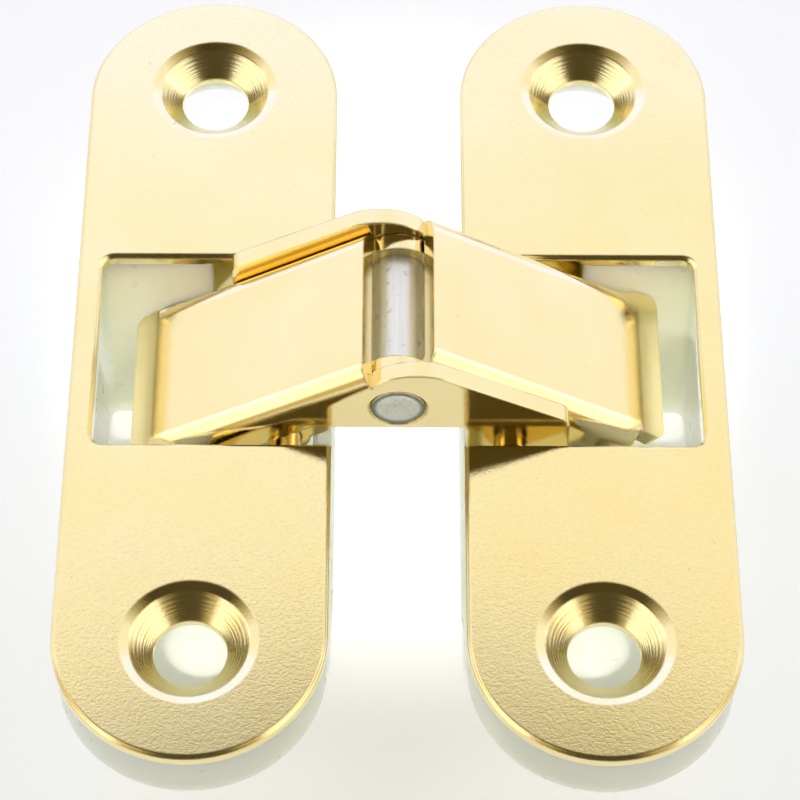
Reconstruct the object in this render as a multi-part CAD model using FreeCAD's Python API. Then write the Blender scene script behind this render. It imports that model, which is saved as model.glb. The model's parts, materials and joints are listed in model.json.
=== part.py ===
import FreeCAD, Part
import math
import os

os.makedirs("parts", exist_ok=True)
V = FreeCAD.Vector

# Face plates, two alike, with full round ends
plate_length = 70.0
plate_width = 20.0
plate_sheet = 1.0
plate_edge_bevel = 0.3
leaf_gap = 10.0

# Window in each plate, open towards the other leaf, through which the arms pass
window_length = 17.3
window_outer_margin = 1.9
window_corner = 0.9

# Cheeks folded down from the window's long sides, which carry the pivot pin
cheek_length = 9.6
cheek_inset = 0.3
cheek_depth = 7.2
cheek_corner = 2.0

# Formed countersinks for the fixing screws
screw_spacing = 51.2
screw_hole = 5.4
screw_rim = 9.3
screw_rim_bevel = 0.4
screw_neck = 0.5
screw_boss_wall = 0.75

# Moulded housings, below the plates
housing_depth = 21.0
flange_depth = 4.4
flange_inset = 0.15
block_length = 40.0
block_inset = 0.15
pocket_wall_outer = 0.7
pocket_wall_inner = 1.6
mouth_depth = 3.4
core_width = 11.0
core_length = 3.8
core_guide_wall = 3.7
core_roof = 3.0
relief_depth = 6.4
relief_inner = 0.3

# Sheet metal arms, two alike, folded as channels with ears
arm_sheet = 1.4
arm_outer_width = 15.5
ear_play = 0.05
bend_inside = 0.3
web_slope = 31.8
web_height = 4.6
web_inner_edge = 2.7
web_reach = 19.35
lip_length = 2.1
lip_turn = 7.0
lip_corner = 0.9
lip_root = 0.3
lip_inset = 0.75
corner_facet_length = 2.0
corner_run_out = 1.6
corner_facet_width = 1.5
flange_height = 3.4
flange_neck = 12.6
eye_boss = 2.35
ear_notch = 0.8
knuckle_outer = 4.15
knuckle_inner = 2.9
knuckle_shoulder = 1.35
knuckle_shoulder_run = 1.5
knuckle_round = 4.0
ear_slope_outer = 29.9
ear_rise = 4.94
ear_tip = 12.9
ear_tip_round = 1.4
ear_heel = 2.4
ear_heel_round = 0.7
ear_heel_turn = 55.0
ear_underside = 0.8
ear_crook_round = 0.5
ear_throat = 0.15
ear_throat_depth = 1.8
ear_boss = 1.95

# Pins
centre_pin = 4.0
centre_pin_height = 3.35
centre_pin_dish = 0.45
centre_pin_lip = 0.25
centre_pin_ring = 0.22
pivot_pin = 2.5
pivot_offset = 8.6
pivot_depth = 2.8
pivot_seat = 1.9
slide_pin = 2.7
slide_past_web = 0.8
slide_drop = 5.0
slide_seat = 1.9

# Fits
pin_clearance = 0.05
seat_clearance = 0.03
groove_clearance = 0.15
seat_end_play = 0.2
screw_seat_clearance = 0.05

# Travel of each arm about the pivot pin of the other leaf
arm_swing = 120.0
groove_lead = 20.0
groove_overrun = 25.0
groove_samples = 13

# Places that follow from the sizes
face_z = plate_sheet + housing_depth
plate_x = -(leaf_gap + plate_width) / 2.0
window_out = -(leaf_gap / 2.0 + plate_width - window_outer_margin)
leaf_edge = -leaf_gap / 2.0
pocket_in = leaf_edge - pocket_wall_inner
window_half = window_length / 2.0
housing_top = -plate_sheet
housing_bottom = -plate_sheet - housing_depth
pocket_out = -(leaf_gap / 2.0 + plate_width - block_inset - pocket_wall_outer)
slope = math.radians(web_slope)
slide_reach = web_reach + slide_past_web
run = V(-math.cos(slope), 0, -math.sin(slope))
rise = V(-math.sin(slope), 0, math.cos(slope))
centre = V(0, 0, centre_pin_height)
eye = centre + run * slide_reach + rise * (web_height - slide_drop)
pivot_left = V(-pivot_offset, 0, -pivot_depth)
pivot_right = V(pivot_offset, 0, -pivot_depth)
bend_outside = bend_inside + arm_sheet
y_outer = arm_outer_width / 2.0
y_inner = y_outer - arm_sheet - ear_play
seat_wall = window_half + plate_sheet + seat_clearance
boss_radius = screw_rim / 2.0 - plate_sheet + screw_boss_wall


def rounded_wire(corners, place):
    """Closed wire through corners (a, b, radius), set in space by place(a, b)."""
    count = len(corners)
    starts = []
    ends = []
    middles = []
    for i in range(count):
        ax, ay, radius = corners[i]
        px, py = corners[i - 1][:2]
        qx, qy = corners[(i + 1) % count][:2]
        d1 = math.hypot(px - ax, py - ay)
        d2 = math.hypot(qx - ax, qy - ay)
        u1 = ((px - ax) / d1, (py - ay) / d1)
        u2 = ((qx - ax) / d2, (qy - ay) / d2)
        if radius <= 0:
            starts.append((ax, ay))
            ends.append((ax, ay))
            middles.append(None)
            continue
        half = math.acos(max(-1.0, min(1.0, u1[0] * u2[0] + u1[1] * u2[1]))) / 2.0
        back = radius / math.tan(half)
        starts.append((ax + u1[0] * back, ay + u1[1] * back))
        ends.append((ax + u2[0] * back, ay + u2[1] * back))
        bx = u1[0] + u2[0]
        by = u1[1] + u2[1]
        norm = math.hypot(bx, by)
        reach = radius / math.sin(half) - radius
        middles.append((ax + bx / norm * reach, ay + by / norm * reach))
    edges = []
    for i in range(count):
        j = (i + 1) % count
        if middles[i]:
            edges.append(Part.Arc(place(*starts[i]), place(*middles[i]), place(*ends[i])).toShape())
        a = place(*ends[i])
        b = place(*starts[j])
        if (a - b).Length > 1e-6:
            edges.append(Part.LineSegment(a, b).toShape())
    return Part.Wire(edges)


def side_solid(corners, y0, y1):
    """Plate standing in the plane of the motion, from y0 to y1."""
    wire = rounded_wire(corners, lambda x, z: V(x, y0, z))
    return Part.Face(wire).extrude(V(0, y1 - y0, 0))


def cross_cylinder(radius, at, y0, y1):
    return Part.makeCylinder(radius, y1 - y0, V(at.x, y0, at.z), V(0, 1, 0))


def stadium(width, length, x, z0, z1):
    """Upright solid with full round ends along Y."""
    r = width / 2.0
    s = length / 2.0 - r
    p = [V(x - r, -s, z0), V(x, -s - r, z0), V(x + r, -s, z0)]
    q = [V(x + r, s, z0), V(x, s + r, z0), V(x - r, s, z0)]
    edges = [
        Part.Arc(p[0], p[1], p[2]).toShape(),
        Part.LineSegment(p[2], q[0]).toShape(),
        Part.Arc(q[0], q[1], q[2]).toShape(),
        Part.LineSegment(q[2], p[0]).toShape(),
    ]
    return Part.Face(Part.Wire(edges)).extrude(V(0, 0, z1 - z0))


def window_solid(x0, x1, half, corner, inner_corner, z0, z1):
    corners = [
        (x0, -half, corner),
        (x1, -half, inner_corner),
        (x1, half, inner_corner),
        (x0, half, corner),
    ]
    wire = rounded_wire(corners, lambda x, y: V(x, y, z0))
    return Part.Face(wire).extrude(V(0, 0, z1 - z0))


def box(x0, x1, y0, y1, z0, z1):
    return Part.makeBox(x1 - x0, y1 - y0, z1 - z0, V(x0, y0, z0))


def edges_at(shape, z, keep):
    found = []
    for edge in shape.Edges:
        b = edge.BoundBox
        if abs(b.ZMin - z) < 1e-6 and abs(b.ZMax - z) < 1e-6 and keep(edge):
            found.append(edge)
    return found


def face_plate():
    """Pressed plate with an open window and a formed countersink at each screw."""
    plate = stadium(plate_width, plate_length, plate_x, -plate_sheet, 0.0)
    past = leaf_edge + plate_sheet
    plate = plate.cut(window_solid(window_out, past, window_half, window_corner, 0, -plate_sheet, 0.0))
    rim = screw_rim / 2.0
    hole = screw_hole / 2.0
    cone = rim - hole
    bottom = -(cone + screw_neck)
    for side in (-1, 1):
        at = V(plate_x, side * screw_spacing / 2.0, 0)
        plate = plate.fuse(Part.makeCylinder(boss_radius, -plate_sheet - bottom, at + V(0, 0, bottom)))
        plate = plate.cut(Part.makeCone(hole, rim, cone, at + V(0, 0, -cone)))
        plate = plate.cut(Part.makeCylinder(hole, plate_sheet - bottom, at + V(0, 0, bottom)))
    for side in (-1, 1):
        plate = plate.fuse(folded_cheek(side))
    plate = plate.cut(cross_cylinder(pivot_pin / 2.0 + seat_clearance, pivot_left, -seat_wall, seat_wall))
    plate = plate.removeSplitter()
    rims = edges_at(plate, 0.0, lambda e: hasattr(e.Curve, "Radius") and abs(e.Curve.Radius - rim) < 1e-6)
    plate = plate.makeChamfer(screw_rim_bevel, rims)
    reach = rim + 2 * screw_rim_bevel
    outline = edges_at(plate, 0.0, lambda e: not is_rim(e, reach))
    return plate.makeChamfer(plate_edge_bevel, outline)


def folded_cheek(side):
    """Cheek under one long side of the window, with rounded lower corners."""
    x0 = leaf_edge - cheek_length
    x1 = leaf_edge - cheek_inset
    corners = [
        (x0, 0, 0),
        (x1, 0, 0),
        (x1, -cheek_depth, cheek_corner),
        (x0, -cheek_depth, cheek_corner),
    ]
    ends = sorted((side * window_half, side * (window_half + plate_sheet)))
    return side_solid(corners, *ends)


def is_rim(edge, reach):
    c = edge.CenterOfMass
    d = math.hypot(c.x - plate_x, abs(c.y) - screw_spacing / 2.0)
    return d < 0.1 and edge.BoundBox.XLength < 2 * reach


def eye_path(angle):
    """Centre of the slide pin, seen from its own leaf, at one angle of the other arm."""
    turn = math.radians(angle)
    follow = turn * (180.0 - arm_swing) / arm_swing
    c = turned(centre - pivot_left, turn) + pivot_left
    return c + turned(eye - centre, follow)


def turned(v, angle):
    ca = math.cos(angle)
    sa = math.sin(angle)
    return V(v.x * ca - v.z * sa, 0, v.x * sa + v.z * ca)


def guide_groove(y0, y1):
    """Groove that the slide pin follows, run out at the foot of the housing."""
    half = slide_pin / 2.0 + groove_clearance
    step = (arm_swing + groove_overrun - groove_lead) / (groove_samples - 1)
    left = []
    right = []
    for i in range(groove_samples):
        angle = groove_lead + i * step
        across = side_step(eye_path(angle + 0.05) - eye_path(angle - 0.05), half)
        left.append(eye_path(angle) + across)
        right.append(eye_path(angle) - across)
    lead = eye_path(groove_lead) - eye
    across = side_step(lead, half)
    lead.normalize()
    edges = arc_chain(left)
    edges.append(Part.LineSegment(left[-1], right[-1]).toShape())
    edges.extend(arc_chain(right[::-1]))
    edges.append(Part.LineSegment(right[0], eye - across).toShape())
    edges.append(Part.Arc(eye - across, eye - lead * half, eye + across).toShape())
    edges.append(Part.LineSegment(eye + across, left[0]).toShape())
    face = Part.Face(Part.Wire(edges))
    face.translate(V(0, y0, 0))
    return face.extrude(V(0, y1 - y0, 0))


def arc_chain(points):
    """Arcs through an odd row of points, each over two steps of it."""
    chain = []
    for i in range(0, len(points) - 2, 2):
        chain.append(Part.Arc(points[i], points[i + 1], points[i + 2]).toShape())
    return chain


def side_step(along, distance):
    """Step of a given length to the left of a direction in the plane of the motion."""
    across = V(along.z, 0, -along.x)
    across.normalize()
    return across * distance


def housing():
    """Moulded housing: flange under the plate, deep block with the arm pocket, cored ends."""
    flange = stadium(
        plate_width - 2 * flange_inset,
        plate_length - 2 * flange_inset,
        plate_x,
        housing_top - flange_depth,
        housing_top,
    )
    block = stadium(
        plate_width - 2 * block_inset,
        block_length,
        plate_x,
        housing_bottom,
        housing_top,
    )
    body = flange.fuse(block).removeSplitter()
    pocket = window_solid(
        pocket_out, pocket_in, window_half, window_corner, window_corner, housing_bottom, housing_top
    )
    body = body.cut(pocket)
    mouth = box(
        pocket_in - window_corner,
        leaf_edge + plate_sheet,
        -window_half,
        window_half,
        housing_top - mouth_depth,
        housing_top,
    )
    body = body.cut(mouth)
    relief = box(
        pocket_in - window_corner,
        pocket_in + relief_inner,
        -window_half,
        window_half,
        housing_top - relief_depth,
        housing_top,
    )
    body = body.cut(relief)
    slot = box(
        leaf_edge - cheek_length - seat_clearance,
        leaf_edge + plate_sheet,
        window_half,
        seat_wall,
        -cheek_depth - seat_clearance,
        housing_top,
    )
    body = body.cut(slot)
    body = body.cut(slot.mirror(V(0, 0, 0), V(0, 1, 0)))
    half_seat = pivot_pin / 2.0 + seat_clearance
    seat_end = seat_wall + pivot_seat + seat_end_play
    body = body.cut(cross_cylinder(half_seat, pivot_left, -seat_end, seat_end))
    body = body.cut(
        box(
            pivot_left.x - half_seat,
            pivot_left.x + half_seat,
            -seat_end,
            seat_end,
            pivot_left.z,
            housing_top,
        )
    )
    groove_end = window_half + slide_seat + seat_end_play
    body = body.cut(guide_groove(-groove_end, groove_end))
    keep = window_half + core_guide_wall
    core = box(
        plate_x - core_width / 2.0,
        plate_x + core_width / 2.0,
        keep,
        keep + core_length,
        housing_bottom,
        housing_top - core_roof,
    )
    body = body.cut(core.mirror(V(0, 0, 0), V(0, 1, 0)))
    body = body.cut(core)
    for side in (-1, 1):
        at = V(plate_x, side * screw_spacing / 2.0, housing_bottom)
        body = body.cut(Part.makeCylinder(boss_radius + screw_seat_clearance, housing_depth, at))
    return body.removeSplitter()


def on_arm(along, below):
    """Point so far along the web from the centre pin, and so far below its top."""
    return centre + run * along + rise * (web_height - below)


def web_line(x, below):
    """Height at x of the line parallel to the web, so far below its top."""
    on_top = on_arm(0.0, below)
    return on_top.z + (x - on_top.x) * math.tan(slope)


def ear_crown():
    """Top of the outer ear: shoulder at the notch, flat crown over the centre pin, slope to the tip."""
    tilt = math.radians(ear_slope_outer)
    notch_x = ear_notch - web_inner_edge
    crown_z = centre.z + knuckle_outer
    crown_end = (ear_rise - knuckle_outer * math.cos(tilt)) / math.sin(tilt)
    tip_z = crown_z - (ear_tip - crown_end) * math.tan(tilt)
    return [
        (notch_x, crown_z - knuckle_shoulder, knuckle_round / 8.0),
        (notch_x + knuckle_shoulder_run, crown_z, knuckle_round),
        (crown_end, crown_z, knuckle_round),
        (ear_tip, tip_z, ear_tip_round),
    ]


def ear_ridge():
    """Top of the inner ear: tangent to a round knuckle, along the underside of the other web."""
    touch = centre + V(math.sin(slope), 0, math.cos(slope)) * knuckle_inner
    tip_z = touch.z - (ear_tip - touch.x) * math.tan(slope)
    return [(touch.x, touch.z, 0), (ear_tip, tip_z, ear_tip_round / 2.0)]


def side_sheet(top, y0, y1):
    """One side of the arm: cheek on the slide pin, knuckle on the centre pin, ear on the far pivot pin."""
    notch_x = ear_notch - web_inner_edge
    heel = math.radians(ear_heel_turn)
    boss = pivot_right + V(math.cos(heel), 0, -math.sin(heel)) * ear_boss
    throat_x = ear_throat - leaf_edge
    bend_x = (ear_underside - web_line(0.0, flange_height)) / math.tan(slope)
    end = on_arm(web_reach, bend_outside)
    outside = on_arm(slide_reach + eye_boss, slide_drop)
    under = on_arm(slide_reach, slide_drop + eye_boss)
    neck = on_arm(flange_neck, flange_height)
    corners = [
        (end.x, end.z, 0),
        (notch_x, web_line(notch_x, bend_outside), 0),
        *top,
        (ear_tip, -ear_heel, ear_heel_round),
        (boss.x, boss.z, 0),
        (pivot_right.x - ear_boss, pivot_right.z, 0),
        (throat_x, -ear_throat_depth, 0),
        (throat_x, ear_underside, ear_crook_round),
        (bend_x, ear_underside, 0),
        (neck.x, neck.z, arm_sheet),
        (under.x, under.z, 0),
        (outside.x, outside.z, 0),
    ]
    sheet = side_solid(corners, y0, y1)
    sheet = sheet.fuse(cross_cylinder(ear_boss, pivot_right, y0, y1))
    return sheet.fuse(cross_cylinder(eye_boss, eye, y0, y1))


def inner_knuckle(y0, y1):
    """Round of the inner ear about the centre pin, clear of the notch and of the underside."""
    notch_x = ear_notch - web_inner_edge
    far = 4 * knuckle_inner
    disc = cross_cylinder(knuckle_inner, centre, y0, y1)
    disc = disc.cut(box(-far, notch_x, y0, y1, web_line(notch_x, bend_outside), centre.z + far))
    disc = disc.cut(box(-far, notch_x - arm_sheet, y0, y1, centre.z - far, centre.z + far))
    return disc.cut(box(-far, far, y0, y1, centre.z - far, ear_underside))


def turned_lip():
    """End of the web, turned down over the slide pin, with rounded free corners."""
    steep = slope + math.radians(lip_turn)
    down = V(-math.cos(steep), 0, -math.sin(steep))
    inward = V(math.sin(steep), 0, -math.cos(steep))
    root = on_arm(web_reach - lip_root, 0.0)
    knee = on_arm(web_reach, 0.0)
    tip = knee + down * lip_length
    shift = arm_sheet * math.tan(math.radians(lip_turn) / 2.0)
    inner_knee = knee + inward * arm_sheet - down * shift
    inner_tip = tip + inward * arm_sheet
    inner_root = on_arm(web_reach - lip_root, arm_sheet)
    corners = [
        (root.x, root.z, 0),
        (knee.x, knee.z, 0),
        (tip.x, tip.z, 0),
        (inner_tip.x, inner_tip.z, 0),
        (inner_knee.x, inner_knee.z, 0),
        (inner_root.x, inner_root.z, 0),
    ]
    lip = side_solid(corners, -y_outer, y_inner - lip_inset)
    back = -2 * lip_length
    plan = [
        (back, -y_outer, 0),
        (lip_length, -y_outer, lip_corner),
        (lip_length, y_inner - lip_inset, lip_corner),
        (back, y_inner - lip_inset, 0),
    ]
    lift = inward * (-lip_length)
    wire = rounded_wire(plan, lambda a, y: knee + down * a + V(0, y, 0) + lift)
    return lip.common(Part.Face(wire).extrude(lift * -3))


def bend_point(back, out):
    """Point halfway round the web's bend on one side, so far back from the knee."""
    halfway = bend_outside * (1 - math.sqrt(0.5))
    width = y_outer if out.y < 0 else y_inner
    return on_arm(web_reach - back, halfway) + out * (width - halfway)


def facet_points():
    """Corners of the slanted facet: on the outer bend, on the knee, at the lip's outer corner."""
    out = V(0, -1, 0)
    steep = slope + math.radians(lip_turn)
    knee = on_arm(web_reach, 0.0)
    corner = knee + V(-math.cos(steep), 0, -math.sin(steep)) * (lip_length - lip_corner)
    return [
        bend_point(corner_facet_length, out),
        knee + out * (y_outer - corner_facet_width),
        corner + out * y_outer,
    ]


def gusset(points):
    """Sheet under a triangle of points, where a bend runs out into the lip."""
    return Part.Face(Part.makePolygon(points + points[:1])).extrude(rise * -arm_sheet)


def corner_facet():
    """Wedge that takes the web's outer corner off on a slant."""
    first, second, third = facet_points()
    line = second - first
    line.normalize()
    fall = third - first
    fall = fall - line * fall.dot(line)
    fall.normalize()
    wide = 2 * corner_facet_length
    corners = [first - line * wide, second + line * wide]
    corners.append(corners[1] + fall * wide)
    corners.append(corners[0] + fall * wide)
    wire = Part.makePolygon(corners + corners[:1])
    return Part.Face(wire).extrude(rise * wide)


def arm():
    """Folded channel arm of the left leaf, its outer ear on the near side."""
    outer_in = -y_outer + arm_sheet
    inner_in = y_inner - arm_sheet
    first = (-web_inner_edge - on_arm(0.0, 0.0).x) / run.x
    start = on_arm(first, 0.0)
    section = [
        (-y_outer, -flange_height, 0),
        (-y_outer, 0, bend_outside),
        (y_inner, 0, bend_outside),
        (y_inner, -flange_height, 0),
        (inner_in, -flange_height, 0),
        (inner_in, -arm_sheet, bend_inside),
        (outer_in, -arm_sheet, bend_inside),
        (outer_in, -flange_height, 0),
    ]
    wire = rounded_wire(section, lambda y, w: start + V(0, y, 0) + rise * w)
    body = Part.Face(wire).extrude(run * (web_reach - lip_root - first))
    body = body.fuse(turned_lip())
    body = body.cut(corner_facet())
    body = body.fuse(gusset(facet_points()))
    side = V(0, 1, 0)
    knee = on_arm(web_reach, 0.0)
    run_out = [
        bend_point(corner_run_out, side),
        knee + side * (y_inner - bend_outside),
        knee + side * (y_inner - lip_inset),
    ]
    body = body.fuse(gusset(run_out))
    body = body.fuse(side_sheet(ear_crown(), -y_outer, outer_in))
    body = body.fuse(side_sheet(ear_ridge(), inner_in, y_inner))
    body = body.fuse(inner_knuckle(inner_in, y_inner))
    body = body.removeSplitter()
    bore = centre_pin / 2.0 + pin_clearance
    body = body.cut(cross_cylinder(bore, centre, -y_outer, y_outer))
    body = body.cut(cross_cylinder(pivot_pin / 2.0 + pin_clearance, pivot_right, -y_outer, y_outer))
    body = body.cut(cross_cylinder(slide_pin / 2.0 + pin_clearance, eye, -y_outer, y_outer))
    ring_cut = Part.makeCone(
        bore + centre_pin_ring,
        bore,
        centre_pin_ring,
        V(centre.x, -y_outer, centre.z),
        V(0, 1, 0),
    )
    return body.cut(ring_cut)


def riveted_pin():
    """Centre pin, flush with the outer ears, with a dished end on each side."""
    pin = cross_cylinder(centre_pin / 2.0, centre, -y_outer, y_outer)
    dish = centre_pin / 2.0 - centre_pin_lip
    for side in (-1, 1):
        at = V(centre.x, side * y_outer, centre.z)
        pin = pin.cut(Part.makeCone(dish, 0, centre_pin_dish, at, V(0, -side, 0)))
    return pin


def opposite(shape):
    other = shape.copy()
    other.rotate(V(0, 0, 0), V(0, 0, 1), 180)
    return other


def save(name, shape):
    solid = shape.copy()
    solid.translate(V(0, 0, face_z))
    if len(solid.Solids) == 1:
        solid = solid.Solids[0]
    print(name, solid.ShapeType, solid.isValid(), round(solid.Volume, 3))
    solid.exportStep(os.path.join("parts", name + ".step"))


pivot_half = seat_wall + pivot_seat
slide_half = window_half + slide_seat
left = {
    "face_plate": face_plate(),
    "housing": housing(),
    "pivot_pin": cross_cylinder(pivot_pin / 2.0, pivot_left, -pivot_half, pivot_half),
    "slide_pin": cross_cylinder(slide_pin / 2.0, eye, -slide_half, slide_half),
}
for piece, shape in left.items():
    save("left_" + piece, shape)
    save("right_" + piece, opposite(shape))
save("left_arm", arm())
save("right_arm", opposite(arm()))
save("centre_pin", riveted_pin())
print("closed faces", round(2 * (turned(centre - pivot_left, math.radians(arm_swing)) + pivot_left).z, 3))
print("ratio of the centre joint", (180.0 - 2 * arm_swing) / arm_swing)
print("eye", eye, "path end", eye_path(arm_swing), "run out", eye_path(arm_swing + groove_overrun))
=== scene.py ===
import json
import math

import bpy
from mathutils import Matrix, Vector


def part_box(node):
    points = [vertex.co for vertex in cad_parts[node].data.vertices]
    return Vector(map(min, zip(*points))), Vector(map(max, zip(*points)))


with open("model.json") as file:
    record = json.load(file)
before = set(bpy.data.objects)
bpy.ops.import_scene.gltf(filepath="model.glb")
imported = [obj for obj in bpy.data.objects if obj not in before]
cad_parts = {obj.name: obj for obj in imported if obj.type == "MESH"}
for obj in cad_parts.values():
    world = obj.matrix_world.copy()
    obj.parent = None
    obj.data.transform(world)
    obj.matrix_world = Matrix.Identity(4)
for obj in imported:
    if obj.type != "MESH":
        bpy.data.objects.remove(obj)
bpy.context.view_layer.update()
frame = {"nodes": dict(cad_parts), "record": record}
scene = bpy.context.scene

# Places taken from the frame, in metres

MM = 0.001
FACE_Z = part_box("right_face_plate")[1].z
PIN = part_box("centre_pin")
PIN_Z = (PIN[0].z + PIN[1].z) / 2
PIN_RADIUS = (PIN[1].x - PIN[0].x) / 2
MOUNTS = {row["name"]: row for row in frame["record"]["mounts"]}
SCREWS = MOUNTS["right_screws"]
SCREW_X = SCREWS["pos_m"][0]
SCREW_Y = SCREWS["dims"]["spacing_y_mm"] * MM / 2

# Camera, fitted to the outlines and holes of the plates in a square picture

IMAGE_SIDE = 800
FOCAL_LENGTH_IN_PIXELS = 3010.78
SENSOR_WIDTH = 36.0
CAMERA_DISTANCE = 230.997 * MM
CAMERA_ELEVATION = math.radians(55.402)
CAMERA_ROLL = math.radians(0.407)
CAMERA_YAW = math.radians(0.225)
CAMERA_SHIFT_X = 0.0024
CAMERA_SHIFT_Y = -0.0645
NEAREST_SEEN = 5 * MM
FARTHEST_SEEN = 20.0


def make_camera():
    """Camera in front of the near ends of the plates, looking down on them."""
    right = Vector((1, 0, 0))
    up = Vector((0, math.sin(CAMERA_ELEVATION), math.cos(CAMERA_ELEVATION)))
    back = Vector((0, -math.cos(CAMERA_ELEVATION), math.sin(CAMERA_ELEVATION)))
    rolled_right = right * math.cos(CAMERA_ROLL) + up * math.sin(CAMERA_ROLL)
    rolled_up = up * math.cos(CAMERA_ROLL) - right * math.sin(CAMERA_ROLL)
    turn = Matrix.Rotation(-CAMERA_YAW, 3, "Z")
    own_axes = [turn @ axis for axis in (rolled_right, rolled_up, back)]
    place = Matrix(own_axes).transposed().to_4x4()
    place.translation = Vector((0, 0, FACE_Z)) + own_axes[2] * CAMERA_DISTANCE
    data = bpy.data.cameras.new("photo_camera")
    data.sensor_width = SENSOR_WIDTH
    data.lens = FOCAL_LENGTH_IN_PIXELS / IMAGE_SIDE * SENSOR_WIDTH
    data.shift_x = CAMERA_SHIFT_X
    data.shift_y = CAMERA_SHIFT_Y
    data.clip_start = NEAREST_SEEN
    data.clip_end = FARTHEST_SEEN
    data.dof.use_dof = False
    camera = bpy.data.objects.new("photo_camera", data)
    scene.collection.objects.link(camera)
    camera.matrix_world = place
    scene.camera = camera


# Node helpers

MIX_SHARE = 0
MIX_FIRST_COLOUR = 6
MIX_SECOND_COLOUR = 7
MIX_COLOUR_RESULT = 2
EDGE_SAMPLES = 4


def feed(tree, node, inputs):
    """Link each named input of a node to an output, or set it to a plain value."""
    for name, value in inputs.items():
        socket = node.inputs[name]
        if isinstance(value, bpy.types.NodeSocket):
            tree.links.new(value, socket)
        elif socket.type == "RGBA":
            socket.default_value = (*value, 1.0)
        else:
            socket.default_value = value


def add(tree, kind, inputs=None, **properties):
    """New node with its properties set and its inputs fed."""
    node = tree.nodes.new(kind)
    for name, value in properties.items():
        setattr(node, name, value)
    feed(tree, node, inputs or {})
    return node


def new_material(name):
    """New material with nothing but a principled shader."""
    material = bpy.data.materials.new(name)
    material.use_nodes = True
    tree = material.node_tree
    tree.nodes.clear()
    shader = add(tree, "ShaderNodeBsdfPrincipled")
    add(tree, "ShaderNodeOutputMaterial", {"Surface": shader.outputs["BSDF"]})
    return material, tree, shader


def coordinates(tree, kind):
    """Texture coordinates of one kind."""
    return add(tree, "ShaderNodeTexCoord").outputs[kind]


def separate(tree, vector):
    """X, Y and Z of a vector."""
    return add(tree, "ShaderNodeSeparateXYZ", {"Vector": vector}).outputs


def millimetres(tree, stretch=(1, 1, 1)):
    """Object coordinates in millimetres, times a factor along each axis."""
    scale = [factor / MM for factor in stretch]
    inputs = {"Vector": coordinates(tree, "Object"), "Scale": scale}
    return add(tree, "ShaderNodeMapping", inputs).outputs["Vector"]


def noise(tree, vector, scale, detail, rough):
    """Cloudy noise with values round one half."""
    inputs = {"Vector": vector, "Scale": scale, "Detail": detail, "Roughness": rough}
    return add(tree, "ShaderNodeTexNoise", inputs).outputs["Fac"]


def ramp(tree, value, stops):
    """Colours that follow a value from stop to stop."""
    node = add(tree, "ShaderNodeValToRGB", {"Fac": value})
    elements = node.color_ramp.elements
    while len(elements) < len(stops):
        elements.new(0.5)
    for element, (position, colour) in zip(elements, stops):
        element.position = position
        element.color = (*colour, 1.0)
    return node.outputs["Color"]


def span(tree, value, between, gives):
    """Map the range between two limits to another range, and hold its ends outside."""
    inputs = {
        "Value": value,
        "From Min": between[0],
        "From Max": between[1],
        "To Min": gives[0],
        "To Max": gives[1],
    }
    return add(tree, "ShaderNodeMapRange", inputs, clamp=True).outputs["Result"]


def mix(tree, share, first, second, blend="MIX"):
    """Blend a share of the second colour into the first."""
    inputs = {MIX_SHARE: share, MIX_FIRST_COLOUR: first, MIX_SECOND_COLOUR: second}
    node = add(tree, "ShaderNodeMix", inputs, data_type="RGBA", blend_type=blend)
    return node.outputs[MIX_COLOUR_RESULT]


def math_node(tree, operation, first, second=0.0):
    """Sum, product or other operation on values."""
    return add(tree, "ShaderNodeMath", {0: first, 1: second}, operation=operation).outputs["Value"]


def distance(tree, across, along):
    """Length of a line from its two legs."""
    squares = [math_node(tree, "MULTIPLY", leg, leg) for leg in (across, along)]
    return math_node(tree, "SQRT", math_node(tree, "ADD", *squares))


def bump(tree, shader, height, strength, depth, edge):
    """Surface relief over softly broken edges."""
    soft = add(tree, "ShaderNodeBevel", {"Radius": edge}, samples=EDGE_SAMPLES)
    inputs = {"Height": height, "Strength": strength, "Distance": depth, "Normal": soft.outputs["Normal"]}
    relief = add(tree, "ShaderNodeBump", inputs)
    feed(tree, shader, {"Normal": relief.outputs["Normal"]})


# Materials

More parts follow.
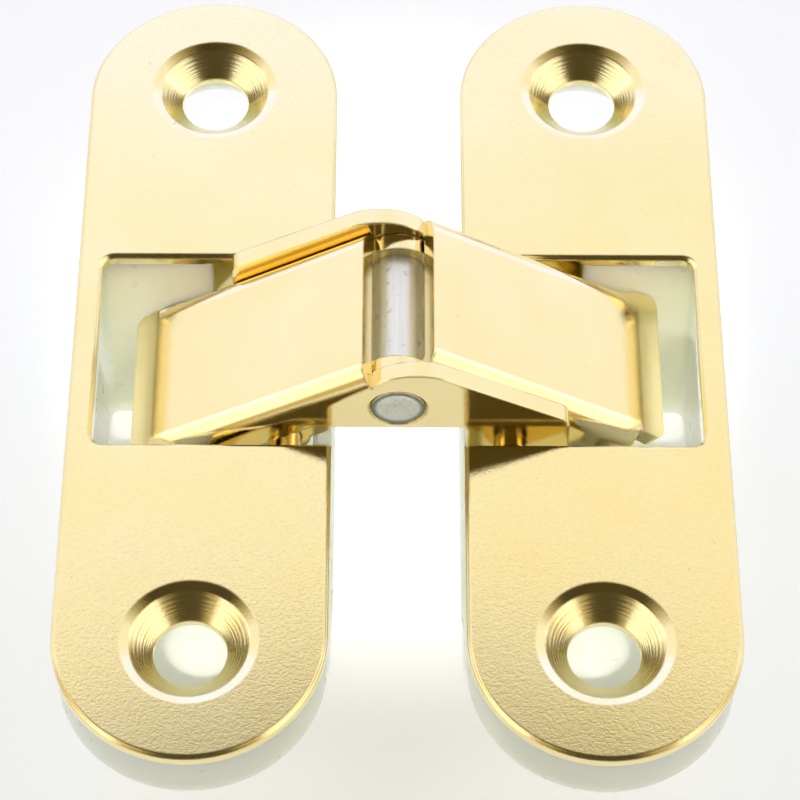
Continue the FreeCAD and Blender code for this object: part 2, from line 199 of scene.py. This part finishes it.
def satin_gilt():
    """Satin gilt sheet: fine grain, faint clouds, a few specks, and turned rings in the countersinks."""
    deep = (0.97, 0.83, 0.43)
    pale = (0.99, 0.87, 0.50)
    worn = (0.90, 0.72, 0.33)
    speck = (0.50, 0.33, 0.12)
    rougher_on_slopes = 0.13
    material, tree, shader = new_material("satin_gilt")
    at = millimetres(tree)
    cloud = noise(tree, at, scale=0.09, detail=4.0, rough=0.6)
    grain = noise(tree, at, scale=4.2, detail=3.0, rough=0.7)
    spots = noise(tree, at, scale=1.3, detail=2.0, rough=0.5)
    rings = noise(tree, millimetres(tree, (0, 0, 1)), scale=5.0, detail=2.0, rough=0.5)

    tone = ramp(tree, cloud, [(0.3, deep), (0.7, pale)])
    tone = mix(tree, span(tree, grain, (0.45, 0.75), (0.0, 0.25)), tone, worn)
    tone = mix(tree, span(tree, spots, (0.76, 0.81), (0.0, 0.4)), tone, speck)

    upward = separate(tree, coordinates(tree, "Normal"))["Z"]
    not_level = span(tree, upward, (0.80, 0.92), (1.0, 0.0))
    not_upright = span(tree, upward, (0.3, 0.45), (0.0, 1.0))
    sloped = math_node(tree, "MULTIPLY", not_level, not_upright)

    rough = span(tree, grain, (0.3, 0.7), (0.06, 0.11))
    rough = math_node(tree, "ADD", rough, span(tree, cloud, (0.3, 0.7), (-0.02, 0.03)))
    rough = math_node(tree, "ADD", rough, math_node(tree, "MULTIPLY", sloped, rougher_on_slopes))
    relief = math_node(tree, "MULTIPLY", span(tree, rings, (0.3, 0.7), (-1.0, 1.0)), sloped)
    relief = math_node(tree, "ADD", grain, relief)
    feed(tree, shader, {"Base Color": tone, "Metallic": 1.0, "Roughness": rough})
    bump(tree, shader, relief, strength=0.10, depth=0.06 * MM, edge=0.2 * MM)
    return material


def polished_gilt():
    """Polished gilt sheet: nearly a mirror, with faint clouds, fine grain and small pits."""
    deep = (0.97, 0.81, 0.42)
    pale = (0.99, 0.85, 0.49)
    pit = (0.55, 0.40, 0.18)
    material, tree, shader = new_material("polished_gilt")
    at = millimetres(tree)
    cloud = noise(tree, at, scale=0.16, detail=3.0, rough=0.5)
    grain = noise(tree, at, scale=3.6, detail=3.0, rough=0.7)
    pits = noise(tree, at, scale=2.2, detail=2.0, rough=0.5)

    tone = ramp(tree, cloud, [(0.3, deep), (0.7, pale)])
    tone = mix(tree, span(tree, pits, (0.75, 0.80), (0.0, 0.35)), tone, pit)
    rough = span(tree, grain, (0.35, 0.7), (0.10, 0.17))
    feed(tree, shader, {"Base Color": tone, "Metallic": 1.0, "Roughness": rough})
    bump(tree, shader, grain, strength=0.07, depth=0.06 * MM, edge=0.25 * MM)
    return material


def milky_plastic():
    """Milky moulded plastic: smooth, a little see-through, faintly green in the shade."""
    shaded = (0.79, 0.82, 0.66)
    pale = (0.85, 0.87, 0.73)
    material, tree, shader = new_material("milky_plastic")
    at = millimetres(tree)
    cloud = noise(tree, at, scale=0.10, detail=3.0, rough=0.5)
    fine = noise(tree, at, scale=0.6, detail=2.0, rough=0.5)

    tone = ramp(tree, cloud, [(0.3, shaded), (0.7, pale)])
    rough = span(tree, fine, (0.3, 0.7), (0.27, 0.35))
    feed(tree, shader, {"Base Color": tone, "Roughness": rough, "IOR": 1.5})
    depth_of_each_colour = (1.0, 1.0, 0.8)
    feed(tree, shader, {"Subsurface Weight": 0.9, "Subsurface Radius": depth_of_each_colour})
    feed(tree, shader, {"Subsurface Scale": 3.5 * MM})
    bump(tree, shader, fine, strength=0.01, depth=0.1 * MM, edge=0.3 * MM)
    return material


def bright_steel():
    """Bright drawn steel: streaks along the pin, small dull spots, darker ends, and a painted shadow ring
    near the rim of each end.
    """
    grey = (0.80, 0.78, 0.67)
    bright = (0.94, 0.92, 0.80)
    dull = (0.42, 0.40, 0.34)
    # Darker tone given to the pin ends.
    darker_end_tone = (0.42, 0.46, 0.40)
    # Painted shadow: dark ring near the rim of each pin end, standing in for the shaded gap round the pin.
    painted_rim_shadow = (0.09, 0.09, 0.07)
    share_on_ends = 0.6
    smoother_on_ends = 0.12
    rim_shadow_starts = 0.76 * PIN_RADIUS
    rim_shadow_is_full = 0.90 * PIN_RADIUS
    material, tree, shader = new_material("bright_steel")
    streak = noise(tree, millimetres(tree, (2.2, 0.10, 2.2)), scale=1.3, detail=4.0, rough=0.6)
    spots = noise(tree, millimetres(tree), scale=1.7, detail=2.0, rough=0.5)

    along_pin = math_node(tree, "ABSOLUTE", separate(tree, coordinates(tree, "Normal"))["Y"])
    end = span(tree, along_pin, (0.4, 0.6), (0.0, 1.0))
    place = separate(tree, coordinates(tree, "Object"))
    from_axis = distance(tree, place["X"], math_node(tree, "SUBTRACT", place["Z"], PIN_Z))
    # Painted shadow ring, just inside the rim of each pin end.
    edge = span(tree, from_axis, (rim_shadow_starts, rim_shadow_is_full), (0.0, 0.8))

    tone = ramp(tree, streak, [(0.3, grey), (0.65, bright)])
    tone = mix(tree, span(tree, spots, (0.62, 0.72), (0.0, 0.5)), tone, dull)
    tone = mix(tree, math_node(tree, "MULTIPLY", end, share_on_ends), tone, darker_end_tone)
    tone = mix(tree, math_node(tree, "MULTIPLY", edge, end), tone, painted_rim_shadow)
    rough = span(tree, streak, (0.3, 0.7), (0.36, 0.46))
    rough = math_node(tree, "SUBTRACT", rough, math_node(tree, "MULTIPLY", end, smoother_on_ends))
    feed(tree, shader, {"Base Color": tone, "Metallic": 0.8, "Roughness": rough})
    bump(tree, shader, streak, strength=0.06, depth=0.1 * MM, edge=0.2 * MM)
    return material


def dress():
    """Give each piece the finish of its material slot."""
    finishes = {
        "satin_gilt_steel": satin_gilt(),
        "polished_gilt_steel": polished_gilt(),
        "milky_plastic": milky_plastic(),
        "bright_steel": bright_steel(),
    }
    for row in frame["record"]["subparts"]:
        materials = frame["nodes"][row["node"]].data.materials
        materials.clear()
        materials.append(finishes[row["material_slot"]])


# Floor and room

FLOOR_REACH = 3.0
FLOOR_GLOW = 0.43
ROOM_STRENGTH = 1.72
HOOD_MIDDLE = 0.20


def make_floor():
    """Plain pale floor that glows a little."""
    shaded = (0.90, 0.90, 0.89)
    pale = (0.93, 0.93, 0.92)
    material, tree, shader = new_material("pale_floor")
    cloud = noise(tree, millimetres(tree), scale=0.01, detail=2.0, rough=0.5)
    tone = ramp(tree, cloud, [(0.3, shaded), (0.7, pale)])
    feed(tree, shader, {"Base Color": tone, "Roughness": 0.9})
    feed(tree, shader, {"Emission Color": tone, "Emission Strength": FLOOR_GLOW})
    mesh = bpy.data.meshes.new("floor")
    signs = ((-1, -1), (1, -1), (1, 1), (-1, 1))
    corners = [(x * FLOOR_REACH, y * FLOOR_REACH, 0) for x, y in signs]
    mesh.from_pydata(corners, [], [(0, 1, 2, 3)])
    mesh.materials.append(material)
    floor = bpy.data.objects.new("floor", mesh)
    scene.collection.objects.link(floor)


def room_level(tree, towards):
    """Brightness of the room: high behind the hinge, dimmed by a hood overhead, low in front."""
    ahead_of_hood = math_node(tree, "SUBTRACT", towards["Y"], HOOD_MIDDLE)
    from_hood = distance(tree, ahead_of_hood, towards["X"])
    hood = span(tree, from_hood, (0.258, 0.282), (0.30, 1.0))
    depth = span(tree, towards["Y"], (-0.05, 0.30), (0.07, 1.0))
    room = math_node(tree, "MULTIPLY", hood, depth)

    # Panels overhead and low at both sides, which only reflections see
    overhead = span(tree, from_hood, (0.165, 0.20), (0.80, 0.0))
    low = span(tree, towards["Z"], (0.44, 0.50), (0.60, 0.0))
    aside = span(tree, math_node(tree, "ABSOLUTE", towards["X"]), (0.36, 0.50), (0.0, 1.0))
    panels = math_node(tree, "MAXIMUM", overhead, math_node(tree, "MULTIPLY", aside, low))
    mirrored = add(tree, "ShaderNodeLightPath").outputs["Is Glossy Ray"]
    return math_node(tree, "MAXIMUM", room, math_node(tree, "MULTIPLY", panels, mirrored))


def room_colour(tree, towards):
    """Colour of the room: tan in front, grey further back, blue far behind, a cream strip to the right."""
    tan = (0.600, 0.480, 0.220)
    grey = (0.600, 0.585, 0.585)
    pale_blue = (0.600, 0.620, 0.715)
    blue = (0.600, 0.665, 1.040)
    white = (1.0, 1.0, 1.0)
    cream = (0.99, 0.96, 0.86)
    from_front = [(0.0, tan), (0.30, grey), (0.52, grey), (0.61, pale_blue), (0.66, blue)]
    from_left = [(0.46, white), (0.53, cream), (0.60, cream), (0.75, white)]
    sky = ramp(tree, towards["Y"], from_front)
    strip = ramp(tree, span(tree, towards["X"], (-1.0, 1.0), (0.0, 1.0)), from_left)
    return mix(tree, 1.0, sky, strip, "MULTIPLY")


def make_world():
    """Soft room all round the hinge."""
    world = bpy.data.worlds.new("room")
    scene.world = world
    world.use_nodes = True
    tree = world.node_tree
    tree.nodes.clear()
    towards = separate(tree, coordinates(tree, "Generated"))
    strength = math_node(tree, "MULTIPLY", room_level(tree, towards), ROOM_STRENGTH)
    inputs = {"Color": room_colour(tree, towards), "Strength": strength}
    background = add(tree, "ShaderNodeBackground", inputs)
    add(tree, "ShaderNodeOutputWorld", {"Surface": background.outputs["Background"]})


# Lights

WHITE = (1.0, 1.0, 1.0)
COOL_WHITE = (0.88, 0.92, 1.0)
AMBER = (1.0, 0.55, 0.06)
SPOT_SOFT_EDGE = 0.4
SPOT_RADIUS = 5 * MM


def hang_light(name, kind, place, target, power):
    """Light at a place, turned towards its target."""
    data = bpy.data.lights.new(name, kind)
    data.energy = power
    light = bpy.data.objects.new(name, data)
    scene.collection.objects.link(light)
    light.location = place
    light.rotation_mode = "QUATERNION"
    light.rotation_quaternion = (Vector(target) - Vector(place)).to_track_quat("-Z", "Y")
    return light


def box_light(name, place, target, size, power):
    """Soft box with a rectangular front."""
    data = hang_light(name, "AREA", place, target, power).data
    data.shape = "RECTANGLE"
    data.size, data.size_y = size


def spot_light(name, place, target, reach, power, colour=WHITE):
    """Narrow spot on a circle round its target, which bright metal doesn't mirror."""
    light = hang_light(name, "SPOT", place, target, power)
    light.visible_glossy = False
    throw = (Vector(target) - Vector(place)).length
    light.data.color = colour
    light.data.spot_size = 2 * math.atan(reach / throw)
    light.data.spot_blend = SPOT_SOFT_EDGE
    light.data.shadow_soft_size = SPOT_RADIUS


def make_lights():
    """Soft boxes at both sides, and spots on the pockets and in the near screw holes."""
    middle = (0, 0, 20 * MM)
    for side, name in ((-1, "left"), (1, "right")):
        place = (side * 0.85, -0.15, 0.45)
        box_light(name + "_box", place, middle, size=(1.1, 0.45), power=1.7)
    between_pockets = (0, 4 * MM, 16 * MM)
    spot_light("pocket_spot", (0, -0.34, 0.52), between_pockets, reach=28 * MM, power=8.5)
    for side, name, wall_power in ((-1, "left", 23.0), (1, "right", 30.0)):
        wall = (side * 20.8 * MM, 0, 14 * MM)
        place = (side * -0.26, -0.06, 0.52)
        spot_light(name + "_wall_spot", place, wall, reach=9.5 * MM, power=wall_power, colour=COOL_WHITE)
        back = (side * 18 * MM, 8.7 * MM, 18 * MM)
        place = (side * 18 * MM, -0.33, 0.42)
        spot_light(name + "_back_spot", place, back, reach=9.5 * MM, power=2.9, colour=AMBER)
        bore = (side * SCREW_X, -SCREW_Y, 18 * MM)
        place = (side * SCREW_X, -SCREW_Y - 0.30, 0.52)
        spot_light(name + "_bore_spot", place, bore, reach=4.5 * MM, power=24.0)


make_camera()
make_floor()
make_world()
make_lights()
dress()
scene.view_settings.view_transform = "Standard"
